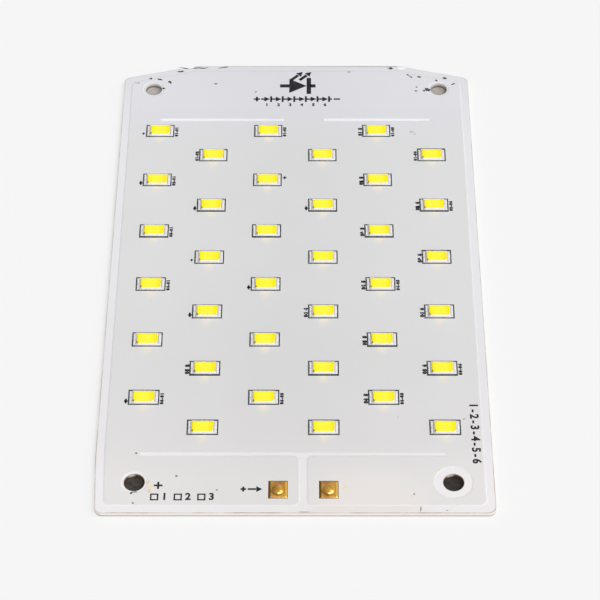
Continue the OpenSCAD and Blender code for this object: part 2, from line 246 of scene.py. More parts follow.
def solder_mask_epoxy():
    """White epoxy solder mask, curtain coated: satin, with orange peel, greyer where copper is under it."""
    look = settings().mask
    material, node, place = blank("Epoxy_solder_mask")
    across, along, up = node("SeparateXYZ", (place,)).outputs
    climb = node("MapRange", (up, MASK_LOW, MASK_TOP))
    # The border stands out less and less towards the sloped end
    even = node("MapRange", (along, 38 * MM, 58 * MM))
    cover = node("Math", (climb, even), operation="MAXIMUM")
    plain = node("Mix", (cover, look.bare, look.over_copper), data_type="RGBA")
    # Warmer tone that fades 7 to 15 mm off a point on the front edge beside the minus pad
    from_film = node("VectorMath", (place, (15 * MM, -64 * MM, MASK_TOP)), operation="DISTANCE")
    film = node("MapRange", (from_film, 7 * MM, 15 * MM, 1, 0), interpolation_type="SMOOTHSTEP")
    base = node("Mix", (film, plain, look.warm_tone), data_type="RGBA")
    # Whiter in the two grooves that frame the LED field, partly the whiter bare mask there and partly a
    # painted highlight for their lit slopes; less so in the lower one
    top, bottom = (node("Math", (along, middle, 0.7 * MM), operation="COMPARE") for middle in GROOVES)
    either = node("Math", (bottom, 0.25, top), operation="MULTIPLY_ADD")
    inside = node("Math", (across, 0, 32 * MM), operation="COMPARE")
    sunk = node("MapRange", (climb, 0, 0.9, 1, 0))
    groove_share = node("Math", (either, inside), operation="MULTIPLY")
    filled = node("Math", (groove_share, sunk), operation="MULTIPLY")
    whitened = node("Mix", (filled, base, look.pooled), data_type="RGBA")
    # Cloudy patches 14 mm across, where the coat dried thicker
    cloud = node("TexNoise", (place, per(14), 3))
    shade = node("MapRange", (cloud, 0, 1, 0.98, 1.02))
    # and a shade paler towards the two sides
    aside = node("Math", (across,), operation="ABSOLUTE")
    pale = node("MapRange", (aside, 4 * MM, 34 * MM, 0.975, 1.02))
    tone = node("Math", (shade, pale), operation="MULTIPLY")
    clouded = node("Mix", (1, whitened, tone), data_type="RGBA", blend_type="MULTIPLY")
    # Painted light along the board: brighter and warm at the wire end, dimmer in the middle, brighter and a
    # shade bluer at the sloped end
    reach = node("MapRange", (along, -64 * MM, 64 * MM))
    painted_light_drift = node("ValToRGB", (reach,))
    stops = painted_light_drift.color_ramp.elements
    stops.remove(stops[1])
    for spot, tint in ((0.06, "#FFFDFC"), (0.14, "#F9F7F7"), (0.3, "#F6F5F5"), (0.5, "#F7F7F8"),
                       (0.8, "#F7F7F8"), (0.9, "#F9F9FF")):
        stops.new(spot).color = linear(tint)
    stops.remove(stops[0])
    tinted = node("Mix", (1, clouded, painted_light_drift), data_type="RGBA", blend_type="MULTIPLY")
    # In front of every LED, a painted yellow spill of light, and painted shade in the narrow gap to its
    # frame: a lattice for each row of a string
    spills, gap_shades = [], []
    cell = Vector((COLUMN_PITCH, ROW_PITCH, 1))
    front = FIRST_LED.y - 1.9 * MM
    for row in (0, 1):
        start = Vector((FIRST_LED.x + row * COLUMN_PITCH, front - row * ROW_PITCH, 0))
        away = node("VectorMath", (place, start), operation="SUBTRACT")
        near = node("VectorMath", (away, cell, -cell), operation="WRAP")
        beside, ahead, _ = node("SeparateXYZ", (near,)).outputs
        wide = node("Math", (beside, 0, 2.9 * MM), operation="COMPARE")
        deep = node("Math", (ahead, 0.3 * MM, 0.2 * MM), operation="COMPARE")
        gap_shades.append(node("Math", (wide, deep), operation="MULTIPLY"))
        spread = node("VectorMath", (near, (per(1.75), per(2.9), 0)), operation="MULTIPLY")
        spills.append(node("VectorMath", (spread,), operation="LENGTH"))
    nearest = node("Math", spills, operation="MINIMUM")
    spill = node("MapRange", (nearest, 0, 1, 1, 0), interpolation_type="SMOOTHSTEP")
    # The lattices end behind the first row and in front of the last
    high, low = FIRST_LED.y + 2 * MM, LAST_LED.y - 5.7 * MM
    field = node("Math", (along, (high + low) / 2, (high - low) / 2), operation="COMPARE")
    lit = node("Math", (spill, field), operation="MULTIPLY")
    warm = node("Mix", (lit, tinted, look.glow), data_type="RGBA")
    # Painted shade in the gap between each LED's front and its frame
    gap_shade = node("Math", gap_shades, operation="MAXIMUM")
    darkening = node("Math", (gap_shade, field), operation="MULTIPLY")
    gap_shaded = node("Mix", (darkening, warm, linear("#ABA9A6")), data_type="RGBA")
    sheen = node("MapRange", (cloud, 0, 1, 0.3, 0.46))
    # Orange peel 0.6 mm across
    peel = node("TexNoise", (place, per(0.6), 2))
    bump = node("Bump", {"Height": peel, "Strength": 0.25, "Distance": 0.01 * MM})
    return surfaced(material, Base_Color=gap_shaded, Roughness=sheen, Normal=bump)


def housing_ppa():
    """PPA loaded with titanium white, moulded: satin, with painted shade on its two end walls.

    Its faint glow is painted light, a weak white emission.
    """
    look = settings().led
    material, node, place = blank("PPA_moulding_white")
    flow = node("TexNoise", (place, per(1.2), 2))
    tone = node("Mix", (flow, look.housing, linear("#F5F5F2")), data_type="RGBA")
    # Painted shade on the two end walls, whose faces the attribute marks
    thin = node("Attribute", attribute_name="thin").outputs["Fac"]
    wall = node("Mix", (thin, tone, look.end_wall_shade), data_type="RGBA")
    # Painted brown shade on the rim at the window's front left corner, placed in millimetres from the LED's
    # middle
    spot = node("UVMap", uv_map="cup")
    away = node("VectorMath", (spot, (-2.08, -1.26, 0)), operation="DISTANCE")
    near = node("MapRange", (away, 0.08, 0.3, 0.75, 0), interpolation_type="SMOOTHSTEP")
    stained = node("Mix", (near, wall, linear("#6B643C")), data_type="RGBA")
    gloss = node("MapRange", (flow, 0, 1, 0.32, 0.5))
    return surfaced(material, Base_Color=stained, Roughness=gloss,
                    Emission_Color=linear("#FFFFFF"), Emission_Strength=0.04)


def phosphor_silicone():
    """Silicone loaded with yellow phosphor powder, dispensed: soft gloss, stronger colour at the ends."""
    look = settings().led
    material, node, place = blank("Phosphor_silicone")
    window = node("UVMap", uv_map="window")
    across, back, _ = node("SeparateXYZ", (window,)).outputs
    off = node("Math", (across, 0.5), operation="SUBTRACT")
    side = node("Math", (off,), operation="ABSOLUTE")
    end = node("MapRange", (side, 0.2, 0.46), interpolation_type="SMOOTHSTEP")
    body = node("Mix", (end, look.fill, look.fill_end), data_type="RGBA")
    # Powder grain, drawn at 0.25 mm so that it shows
    grain = node("TexNoise", (place, per(0.25), 2))
    tone = node("MapRange", (grain, 0, 1, 0.94, 1.05))
    grained = node("Mix", (1, body, tone), data_type="RGBA", blend_type="MULTIPLY")
    # Painted grey shade along the left end of the window, beside the wall on the shaded side
    film = node("MapRange", (across, 0.024, 0.044, 1, 0))
    left_shaded = node("Mix", (film, grained, linear("#8E874C")), data_type="RGBA")
    # Shade along the back of the window, under the wall
    shade = node("MapRange", (back, 0.88, 1, 1, 0.72))
    shaded = node("Mix", (1, left_shaded, shade), data_type="RGBA", blend_type="MULTIPLY")
    # Painted brown shade in the front left corner of the window
    corner = node("VectorMath", (window, (0.015, 0.06, 0)), operation="SUBTRACT")
    squeezed = node("VectorMath", (corner, (9.5, 4.2, 0)), operation="MULTIPLY")
    far = node("VectorMath", (squeezed,), operation="LENGTH")
    thin = node("MapRange", (far, 0.3, 1, 0.85, 0), interpolation_type="SMOOTHSTEP")
    done = node("Mix", (thin, shaded, linear("#4E431A")), data_type="RGBA")
    bump = node("Bump", {"Height": grain, "Strength": 0.2, "Distance": 0.01 * MM})
    # Its faint glow, an emission of its own colour, is painted light
    return surfaced(material, Base_Color=done, Emission_Color=done, Emission_Strength=0.06, Roughness=0.42,
                    Specular_IOR_Level=0.2, Normal=bump)


def gilt_plate():
    """Immersion gold over reflowed solder under flux: mirror bright, rippled and tarnished, with painted dark
    and bright reflections.
    """
    look = settings().pad
    material, node, place = blank("Gold_plate")
    stain_and_shade = node("TexNoise", (place, per(1.6), 4))
    dull = node("MapRange", (stain_and_shade, 0.42, 0.68))
    tone = node("Mix", (dull, look.gilt, look.tarnish), data_type="RGBA")
    # Painted dark reflection in the fillet at the front left of the dome, placed in millimetres from the
    # pad's middle
    spot = node("UVMap", uv_map="pad")
    reach = node("VectorMath", (spot,), operation="LENGTH")
    off = node("Math", (reach, look.dome / 2 / MM + 0.1), operation="SUBTRACT")
    near = node("Math", (off,), operation="ABSOLUTE")
    ring = node("MapRange", (near, 0.05, 0.34, 0.75, 0), interpolation_type="SMOOTHSTEP")
    front = node("VectorMath", (spot, (-0.5, -0.85, 0)), operation="DOT_PRODUCT")
    side = node("MapRange", (front, 0.4, 1.3))
    dark_share = node("Math", (ring, side), operation="MULTIPLY")
    dark_reflection = node("Mix", (dark_share, tone, look.dark_reflection), data_type="RGBA")
    # Painted dark reflection along the left edge of the foot, and a painted bright reflection along its right
    # edge
    across = node("SeparateXYZ", (spot,)).outputs["X"]
    left = node("MapRange", (across, -1.72, -1.4, 0.85, 0))
    edged = node("Mix", (left, dark_reflection, look.dark_reflection), data_type="RGBA")
    right = node("MapRange", (across, 1.35, 1.55))
    done = node("Mix", (right, edged, look.clean), data_type="RGBA")
    gloss = node("MapRange", (stain_and_shade, 0, 1, 0.1, 0.26))
    ripple = node("TexNoise", (place, per(0.5), 1))
    bump = node("Bump", {"Height": ripple, "Strength": 0.3, "Distance": 0.02 * MM})
    return surfaced(material, Base_Color=done, Roughness=gloss, Normal=bump, Metallic=1.0,
                    Coat_Weight=0.4, Coat_Roughness=0.08)


def rolled_metal(name, bright, dark, grain, rough, metallic=1.0, darkening=None):
    """Rolled or plated metal with fine grain along the board's length; less metallic where it is matt."""
    material, node, place = blank(name)
    drawn = node("Mapping", {"Vector": place, "Scale": (per(grain), per(grain * 25), per(grain))})
    lines = node("TexNoise", (drawn, 1, 3))
    tone = node("Mix", (lines, linear(bright), linear(dark)), data_type="RGBA")
    if darkening:
        tone = darkening(node, place, tone)
    gloss = node("MapRange", (lines, 0, 1, rough - 0.08, rough + 0.08))
    bump = node("Bump", {"Height": lines, "Strength": 0.2, "Distance": 0.01 * MM})
    return surfaced(material, Base_Color=tone, Roughness=gloss, Normal=bump, Metallic=metallic)


def darkened_plate(node, place, metal):
    """Colour of the plate's metal, darker brown low on its outer edge, with painted shade in its holes and a
    painted highlight there.
    """
    across, along, up = node("SeparateXYZ", (place,)).outputs
    side = node("Math", (across,), operation="ABSOLUTE")
    down = node("Math", (along, -1), operation="MULTIPLY")
    folded = node("CombineXYZ", (side, down))

    def darken_between(under, near, stain_and_shade, floor, top, least=0):
        """Darkens towards a colour, fading out between two heights, wherever a mask says that the edge is
        near.
        """
        fade = node("MapRange", (up, floor, top, 1, least))
        share = node("Math", (fade, near), operation="MULTIPLY")
        return node("Mix", (share, under, linear(stain_and_shade)), data_type="RGBA")
    # Outer edge: within 0.3 mm of the sides, the wire end and their round corners
    low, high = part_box("base_plate")
    corner = (high.x - PLATE_ROUND, -low.y - PLATE_ROUND, 0)
    past = node("VectorMath", (folded, corner), operation="SUBTRACT")
    beyond = node("VectorMath", (past, (0, 0, 0)), operation="MAXIMUM")
    out = node("VectorMath", (beyond,), operation="LENGTH")
    rim = node("Math", (out, PLATE_ROUND - 0.3 * MM), operation="GREATER_THAN")
    surface = darken_between(metal, rim, "#867769", 0.12 * MM, 0.3 * MM)
    # The holes: painted brown shade down the bores at the wire end, left out in an arc at the back left for a
    # painted highlight, and a little painted grey shade at the other end
    sign = node("Math", (across,), operation="SIGN")
    inward = node("Math", (side, LOW_HOLE[0] * MM), operation="SUBTRACT")
    local = node("Math", (sign, inward), operation="MULTIPLY")
    from_arc = node("Math", (local, 0.6 * MM), operation="ADD")
    off_arc = node("Math", (from_arc,), operation="ABSOLUTE")
    bare = node("MapRange", (off_arc, 0.3 * MM, 1.0 * MM, 1, 0), interpolation_type="SMOOTHSTEP")
    # Painted shade outside and inside the highlight's arc: where its fading starts and ends, and how much is
    # left above
    arc = [node("MapRange", (bare, 0, 1, outside, inside))
           for outside, inside in ((0.35 * MM, 0.15 * MM), (0.8 * MM, 0.4 * MM), (0.85, 0))]
    # Within 2.3 mm of its middle lies the wall of a hole
    for hole, stain_and_shade, fading in ((LOW_HOLE, "#5E4638", arc), (TOP_HOLE, "#8F8578", (0.3 * MM, 0.9 * MM))):
        middle = (hole[0] * MM, -hole[1] * MM, 0)
        away = node("VectorMath", (folded, middle), operation="DISTANCE")
        bore = node("Math", (away, 2.3 * MM), operation="LESS_THAN")
        surface = darken_between(surface, bore, stain_and_shade, *fading)
    return surface


def tin_solder():
    """Tin solder, reflowed: matt and grainy, painted white at the right end of each LED, where the light
    falls, and grey at the left end, which lies in shade.
    """
    material, node, place = blank("Tin_solder")
    across = node("SeparateXYZ", (place,)).outputs["X"]
    # All LEDs stand on one lattice of columns, so the wrapped place is that in the first LED
    ends = FIRST_LED.x + COLUMN_PITCH / 2, FIRST_LED.x - COLUMN_PITCH / 2
    cell = node("Math", (across, *ends), operation="WRAP")
    # Painted light and shade: white fillets on the lit right, grey ones on the shaded left
    right = node("Math", (cell, FIRST_LED.x), operation="GREATER_THAN")
    body = node("Mix", (right, linear("#DADADC"), linear("#FFFFFF")), data_type="RGBA")
    grain = node("TexNoise", (place, per(0.15), 3))
    tone = node("MapRange", (grain, 0, 1, 0.92, 1.04))
    done = node("Mix", (1, body, tone), data_type="RGBA", blend_type="MULTIPLY")
    bump = node("Bump", {"Height": grain, "Strength": 0.2, "Distance": 0.01 * MM})
    return surfaced(material, Base_Color=done, Normal=bump, Metallic=0.2, Roughness=0.45)


def filled_epoxy():
    """Epoxy filled with ceramic, laminated: dull grey, pale filler, browned by heat near the wire end."""
    material, node, place = blank("Filled_epoxy")
    along = node("SeparateXYZ", (place,)).outputs["Y"]
    heat = node("MapRange", (along, -50 * MM, -10 * MM, 1, 0))
    body = node("Mix", (heat, linear("#BDB9B6"), linear("#B79C88")), data_type="RGBA")
    # Filler in patches 4 mm across
    patch = node("TexNoise", (place, per(4), 4))
    pale = node("MapRange", (patch, 0.35, 0.65))
    tone = node("Mix", (pale, body, linear("#DDD7D2")), data_type="RGBA")
    return surfaced(material, Base_Color=tone, Roughness=0.6)


def mottled(name, first, second, size, rough, **sockets):
    """Dull cast or printed surface whose colour wanders between two tones over patches of a real size."""
    material, node, place = blank(name)
    patch = node("TexNoise", (place, per(size), 4))
    edge = node("MapRange", (patch, 0.35, 0.65))
    tone = node("Mix", (edge, first, second), data_type="RGBA")
    bump = node("Bump", {"Height": patch, "Strength": 0.3, "Distance": 0.02 * MM})
    return surfaced(material, Base_Color=tone, Roughness=rough, Normal=bump, **sockets)


def legend_ink():
    """Epoxy ink, screen printed: dull black that printed thin in patches half a millimetre wide."""
    look = settings().legend
    return mottled("Screen_printed_ink", look.ink, look.worn_ink, 0.5, 0.6, Specular_IOR_Level=0.3)


# Modelling helpers

def clear_selection():
    """Object mode with nothing selected."""
    if bpy.context.object and bpy.context.object.mode != "OBJECT":
        bpy.ops.object.mode_set(mode="OBJECT")
    bpy.ops.object.select_all(action="DESELECT")


def select_only(*pieces):
    """Selects these pieces and nothing else; the first is active."""
    clear_selection()
    for piece in pieces:
        piece.select_set(True)
    bpy.context.view_layer.objects.active = pieces[0]


def settle():
    """Applies the place, turn and scale of the object that was just added, and gives the object."""
    bpy.ops.object.transform_apply(location=True, rotation=True, scale=True)
    return bpy.context.object


def added(name):
    """Names the object that was just added."""
    bpy.context.object.name = name
    return bpy.context.object


def edit_all():
    """Edit mode with everything selected."""
    bpy.ops.object.mode_set(mode="EDIT")
    bpy.ops.mesh.select_all(action="SELECT")


def block(size, middle):
    """A new block in edit mode: the start of a moulded piece."""
    clear_selection()
    bpy.ops.mesh.primitive_cube_add(size=1, location=middle, scale=size)
    settle()
    bpy.ops.object.mode_set(mode="EDIT")
    return bpy.context.object


def pick(part, test):
    """In edit mode, selects only the VERT, EDGE or FACE parts that pass a test."""
    bpy.ops.mesh.select_mode(type=part)
    bpy.ops.mesh.select_all(action="DESELECT")
    mesh = bpy.context.edit_object.data
    shape = bmesh.from_edit_mesh(mesh)
    for item in {"VERT": shape.verts, "EDGE": shape.edges, "FACE": shape.faces}[part]:
        if test(item):
            item.select_set(True)
    shape.select_flush_mode()
    bmesh.update_edit_mesh(mesh)


def middle_of(edge):
    """Middle of an edge."""
    return (edge.verts[0].co + edge.verts[1].co) / 2


def is_upright(edge):
    """True for an edge that climbs."""
    return abs(edge.verts[0].co.z - edge.verts[1].co.z) > 20 * HAIR


def lies_at(item, height):
    """True for an edge or face that lies flat at a height."""
    return all(abs(v.co.z - height) < 2 * HAIR for v in item.verts)


def scale_picked(x, y):
    """Scales what is selected in the plan."""
    bpy.ops.transform.resize(value=(x, y, 1))


def raise_picked(rise):
    """Extrudes what is selected straight up, or down."""
    bpy.ops.mesh.extrude_region_move(TRANSFORM_OT_translate={"value": (0, 0, rise)})


def round_picked(radius, segments):
    """Bevels the edges that are selected."""
    bpy.ops.mesh.bevel(offset=radius, segments=segments, affect="EDGES")


def shape_window(is_wall, size):
    """Rounds three corners of a window, in the walls that pass a test, and cuts the cathode's corner."""
    look = settings().led
    # Once three corners are round, the edge this near to the fourth is the one to cut
    near = 0.2 * MM
    pick("EDGE", lambda e: is_wall(e) and not (middle_of(e).x > 0 and middle_of(e).y < 0))
    round_picked(look.window_round, 4)
    pick("EDGE", lambda e: is_wall(e) and middle_of(e).x > size.x / 2 - near
         and middle_of(e).y < near - size.y / 2)
    round_picked(look.mark, 1)


def map_plan(piece, name, size=(MM, MM), start=0.0):
    """Adds a UV map that runs with the plan, one unit to each size, from a start value in the middle."""
    layer = piece.data.uv_layers.new(name=name)
    for loop in piece.data.loops:
        spot = piece.data.vertices[loop.vertex_index].co
        layer.data[loop.index].uv = (spot.x / size[0] + start, spot.y / size[1] + start)


def smooth(piece, degrees=35):
    """Smooth shading, with edges sharper than the angle kept."""
    select_only(piece)
    bpy.ops.object.shade_smooth_by_angle(angle=math.radians(degrees))


def own_copy(source, name, shift=Vector()):
    """A copy with its own mesh, moved in its mesh."""
    twin = bpy.data.objects.new(name, source.data.copy())
    twin.data.transform(Matrix.Translation(shift))
    bpy.context.scene.collection.objects.link(twin)
    return twin


def join(pieces, name):
    """Joins pieces into one."""
    select_only(*pieces)
    bpy.ops.object.join()
    pieces[0].name = name
    return pieces[0]


def drop(piece):
    """Removes a piece that has served as a pattern or a cutter."""
    bpy.data.objects.remove(piece)


def apply(piece, kind, **options):
    """Adds a modifier and applies it."""
    select_only(piece)
    modifier = piece.modifiers.new(kind.title(), kind)
    for name, value in options.items():
        setattr(modifier, name, value)
    bpy.ops.object.modifier_apply(modifier=modifier.name)


def coat(piece, material):
    """Gives a piece its one material."""
    piece.data.materials.clear()
    piece.data.materials.append(material)


def dress(piece, material, stands_for=()):
    """Gives a finished piece its material and its body, and hides the CAD nodes that it stands for."""
    coat(piece, material)
    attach(piece, "root")
    if stands_for:
        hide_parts(*stands_for)


# Operators

class LEDBOARD_OT_plate(bpy.types.Operator):
    """Finishes the CAD nodes that keep their shape: plate, circuit, leads, dies, wires, solder and frames"""
    bl_idname = "led_board.plate"
    bl_label = "Plate and Circuit"

    def execute(self, context):
        finishes = {
            # Aluminium sheet, rolled and punched: pale grey rolling lines, darker brown low on its outer
            # edge, painted shade and a painted highlight in its holes
            "base_plate": rolled_metal(
                "Rolled_aluminium", "#F4F0EA", "#DED9D2", 0.12, 0.5, 0.3, darkened_plate),
            "dielectric_layer": filled_epoxy(),
            # Matt silver plate on stamped copper: bright, and painted pure white on the anode, which lies in
            # the housing's shade on the left
            "anode_leads": rolled_metal("Silver_plate", "#FFFFFF", "#FAFAFC", 0.2, 0.5, 0.1),
            # The same plate, painted a shade darker on the cathode, which lies in the light on the right
            "cathode_leads": rolled_metal("Darker_silver_plate", "#EFEFF1", "#E2E2E6", 0.2, 0.5, 0.15),
            # Gallium nitride die on sapphire: pale blue grey
            "led_dies": mottled("Gallium_nitride_die", linear("#7C93C4"), linear("#A9B8D8"), 0.2, 0.2),
            # Drawn gold wire
            "bond_wires": rolled_metal("Gold_wire", "#EBC060", "#CF9B3A", 0.02, 0.2),
            "solder_joints": tin_solder(),
            # Epoxy ink, screen printed: dull black, thin in places
            "legend_frames": mottled(
                "Thin_screen_printed_ink", linear("#1C1C22"), linear("#4A4A52"), 0.5, 0.6),
        }
        # Copper foil, etched: its rim round the wire pads, seen in the gap by the mask, is painted dark brown
        # for the shade in that gap
        foil = rolled_metal("Copper_foil", "#7A5138", "#4E3426", 0.1, 0.4)
        finishes.update({name: foil for name in COPPER})
        for name, material in finishes.items():
            coat(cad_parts[name], material)
        # The punch leaves the plate's edges slightly rolled
        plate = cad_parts["base_plate"]
        plate.modifiers.new("Merge", "WELD").merge_threshold = HAIR
        plate.modifiers.new("Flatten", "DECIMATE").decimate_type = "DISSOLVE"
        rolled = plate.modifiers.new("Rolled edge", "BEVEL")
        rolled.width, rolled.segments, rolled.limit_method = 0.08 * MM, 2, "ANGLE"
        return {"FINISHED"}


class LEDBOARD_OT_solder_mask(bpy.types.Operator):
    """Models the solder mask with soft slopes where it climbs onto the copper"""
    bl_idname = "led_board.solder_mask"
    bl_label = "Solder Mask"

    def execute(self, context):
        look = settings().mask
        sheet = own_copy(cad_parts["solder_mask"], "solder_mask_coat")
        select_only(sheet)
        bpy.ops.mesh.customdata_custom_splitnormals_clear()
        edit_all()
        bpy.ops.mesh.remove_doubles(threshold=HAIR)
        bpy.ops.mesh.dissolve_limited(angle_limit=math.radians(0.5))
        step = self.step_corners(sheet)
        half = (MASK_TOP - MASK_LOW) / 2
        # Level, shift of the step's edge to half its height, and widths of the insets beside it
        slopes = ((MASK_TOP, -half, (look.climb, look.climb / 2)),
                  (MASK_LOW, half, (look.foot, look.foot / 4)))
        for height, _, runs in slopes:
            pick("FACE", lambda f: f.normal.z > 0.9 and lies_at(f, height))
            for run in runs:
                bpy.ops.mesh.inset(thickness=run, use_even_offset=True)
        for height, shift, _ in slopes:
            pick("VERT", lambda v: self.corner(v) in step and abs(v.co.z - height) < HAIR)
            bpy.ops.transform.translate(value=(0, 0, shift))
        bpy.ops.mesh.select_all(action="SELECT")
        bpy.ops.mesh.remove_doubles(threshold=HAIR)
        smooth(sheet)
        dress(sheet, solder_mask_epoxy(), ["solder_mask"])
        return {"FINISHED"}

    @staticmethod
    def corner(vertex):
        """Place of a vertex in the plan."""
        return round(vertex.co.x, 6), round(vertex.co.y, 6)

    def step_corners(self, sheet):
        """Places in the plan of all corners of the upright step between the two levels."""
        shape = bmesh.from_edit_mesh(sheet.data)
        found = set()
        for face in shape.faces:
            heights = [v.co.z for v in face.verts]
            if abs(max(heights) - MASK_TOP) < HAIR and abs(min(heights) - MASK_LOW) < HAIR:
                found.update(self.corner(v) for v in face.verts)
        return found


def fill_size():
    """Size of one fill, with its height above the housing's underside, and its shift to the anode side."""
    low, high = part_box("phosphor_fills")
    left, right = FIRST_LED.x - low.x, high.x - LAST_LED.x
    return Vector((left + right, 2 * (high.y - FIRST_LED.y), high.z - FIRST_LED.z)), (left - right) / 2


class LEDBOARD_OT_housings(bpy.types.Operator):
    """Models one moulded LED housing, with its drafted walls and its cup, and copies it to every LED"""
    bl_idname = "led_board.housings"
    bl_label = "LED Housings"

    def execute(self, context):
        look = settings().led
        low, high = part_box(HOUSINGS[0])
        size = high - low
        fill, shift = fill_size()
        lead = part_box("anode_leads")
        lead_height = lead[1].z - lead[0].z
        lead_width = 2 * (lead[1].y - FIRST_LED.y)
        # The window stands 0.02 mm clear of the fill all round
        window = Vector((fill.x + 0.04 * MM, fill.y + 0.04 * MM))
        top = Vector((size.x - 2 * look.end_lean, size.y - 2 * look.side_lean))
        piece = block(size, (shift, 0, size.z / 2))
        pick("FACE", lambda f: lies_at(f, size.z))
        scale_picked(top.x / size.x, top.y / size.y)
        bpy.ops.mesh.inset(thickness=(top.y - window.y) / 2)
        scale_picked(window.x / (top.x - top.y + window.y), 1)
        bpy.ops.transform.translate(value=(-shift, 0, 0))
        raise_picked(lead_height - size.z)
        scale_picked(1 - CUP_TAPER / window.x, 1 - CUP_TAPER / window.y)
        shape_window(lambda e: is_upright(e) and min(v.co.z for v in e.verts) > lead_height - HAIR, window)
        # The outer corners, then the edges on top
        pick("EDGE", lambda e: is_upright(e) and min(v.co.z for v in e.verts) < HAIR)
        round_picked(look.corner_round, 3)
        pick("EDGE", lambda e: lies_at(e, size.z) and any(not lies_at(f, size.z) for f in e.link_faces))
        round_picked(look.edge_round, 2)
        # Channel underneath for the two leads
        channel = block((2 * size.x, lead_width, 2 * lead_height), (0, 0, 0))
        clear_selection()
        apply(piece, "BOOLEAN", object=channel, operation="DIFFERENCE", solver="EXACT")
        drop(channel)
        smooth(piece)
        # Faces that look along the LED at its two ends take the painted end-wall shade
        thin = piece.data.attributes.new("thin", "FLOAT", "FACE")
        for face in piece.data.polygons:
            at_end = abs(face.center.x - shift) > window.x / 2
            thin.data[face.index].value = float(abs(face.normal.x) > 0.8 and at_end)
        map_plan(piece, "cup")
        material = housing_ppa()
        for name, place in LED_SEATS.items():
            twin = own_copy(piece, name.replace("led_housing", "led_cup"), place - Vector((shift, 0, 0)))
            dress(twin, material, [name])
        drop(piece)
        return {"FINISHED"}


class LEDBOARD_OT_phosphor(bpy.types.Operator):
    """Models one phosphor fill, with its sagging face and its cut corner, and copies it to every LED"""
    bl_idname = "led_board.phosphor"
    bl_label = "Phosphor Fills"

    def execute(self, context):
        look = settings().led
        low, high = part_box("phosphor_fills")
        fill, shift = fill_size()
        depth = high.z - low.z
        piece = block((fill.x, fill.y, depth), (0, 0, depth / 2))
        pick("FACE", lambda f: lies_at(f, 0))
        scale_picked(1 - CUP_TAPER / fill.x, 1 - CUP_TAPER / fill.y)
        shape_window(is_upright, fill)
        pick("FACE", lambda f: lies_at(f, depth))
        # Width of each ring from the rim, and its share of the sag
        for run, sag in ((0.03, 0.5), (0.04, 0.3), (0.05, 0.2)):
            bpy.ops.mesh.inset(thickness=run * MM)
            bpy.ops.transform.translate(value=(0, 0, -sag * look.meniscus))
        clear_selection()
        smooth(piece, 60)
        map_plan(piece, "window", fill, 0.5)
        fills = [own_copy(piece, "fill_" + name[-2:], Vector((place.x - shift, place.y, low.z)))
                 for name, place in LED_SEATS.items()]
        drop(piece)
        dress(join(fills, "phosphor_faces"), phosphor_silicone(), ["phosphor_fills"])
        return {"FINISHED"}


class LEDBOARD_OT_wire_pads(bpy.types.Operator):
    """Models one gilt pad, a square foot with a round dome, and copies it to the plus and the minus pad"""
    bl_idname = "led_board.wire_pads"
    bl_label = "Wire Pads"

    def execute(self, context):
        look = settings().pad
        low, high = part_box("plus_wire_pad")
        size = high - low
        top, slope = look.foot_height, look.foot_slope
        foot = block((size.x, size.y, top), (0, 0, top / 2))
        pick("FACE", lambda f: lies_at(f, top))
        scale_picked(1 - 2 * slope / size.x, 1 - 2 * slope / size.y)
        pick("EDGE", lambda e: is_upright(e) or lies_at(e, top))
        round_picked(look.ridge_round, 3)
        piece = join([foot, self.dome(look.dome / 2, size.z - top, top)], "gilt_pad_pattern")
        smooth(piece, 50)
        map_plan(piece, "pad")
        material = gilt_plate()
        for name in ("plus_wire_pad", "minus_wire_pad"):
            twin = own_copy(piece, name.replace("wire_pad", "gilt_pad"), seat(name))
            dress(twin, material, [name])
        drop(piece)
        return {"FINISHED"}

    @staticmethod
    def dome(reach, rise, floor):
        """A round dome with a hollow fillet round its foot, grown ring by ring from a circle."""
        ball = (reach ** 2 + rise ** 2) / (2 * rise)
        spread = math.asin(reach / ball)
        fillet = 0.12 * MM
        # Angle at which the fillet meets the ball
        meet = spread * 0.86

        def ring(angle):
            """Radius and height of the ball's ring at an angle from its crown."""
            return ball * math.sin(angle), ball * (math.cos(angle) - math.cos(spread))
        # Rings from the fillet's outer edge to just short of the crown
        wide, high = ring(meet)
        rings = [(wide + fillet * (1.5 - 0.5 * k), high * share) for k, share in enumerate((0.0, 0.12, 0.42))]
        rings += [ring(meet * (1 - k / 10)) for k in range(10)]
        clear_selection()
        bpy.ops.mesh.primitive_circle_add(vertices=48, radius=rings[0][0], location=(0, 0, floor - 2 * HAIR))
        settle()
        edit_all()
        for (wide, low), (narrow, high) in zip(rings, rings[1:]):
            raise_picked(high - low)
            scale_picked(narrow / wide, narrow / wide)
        raise_picked(rise - rings[-1][1])
        bpy.ops.mesh.merge(type="CENTER")
        bpy.ops.mesh.select_all(action="SELECT")
        bpy.ops.mesh.normals_make_consistent(inside=False)
        clear_selection()
        return bpy.context.object


# All prints are placed in millimetres from the middle of the board

def ink_text(words, place, height, turn=0.0, bold=0.05, spread=1.0):
    """Printed numbers or signs as a flat mesh."""
    clear_selection()
    bpy.ops.object.text_add(location=(place[0] * MM, place[1] * MM, MASK_TOP), rotation=(0, 0, turn))
    letters = bpy.context.object.data
    letters.body = words
    # A digit takes up 0.7 of the font's size
    letters.size = height * MM / 0.7
    letters.align_x, letters.align_y = "CENTER", "CENTER"
    letters.resolution_u = 3
    letters.offset = bold * height * MM
    letters.space_character = spread
    bpy.ops.object.convert(target="MESH")
    return settle()


def ink_line(start, end, width):
    """Printed stroke between two points."""
    start, end = Vector(start), Vector(end)
    along = end - start
    clear_selection()
    bpy.ops.mesh.primitive_plane_add(
        size=1, location=(*((start + end) / 2 * MM), MASK_TOP), rotation=(0, 0, math.atan2(along.y, along.x)))
    bpy.context.object.scale = ((along.length + width) * MM, width * MM, 1)
    return settle()


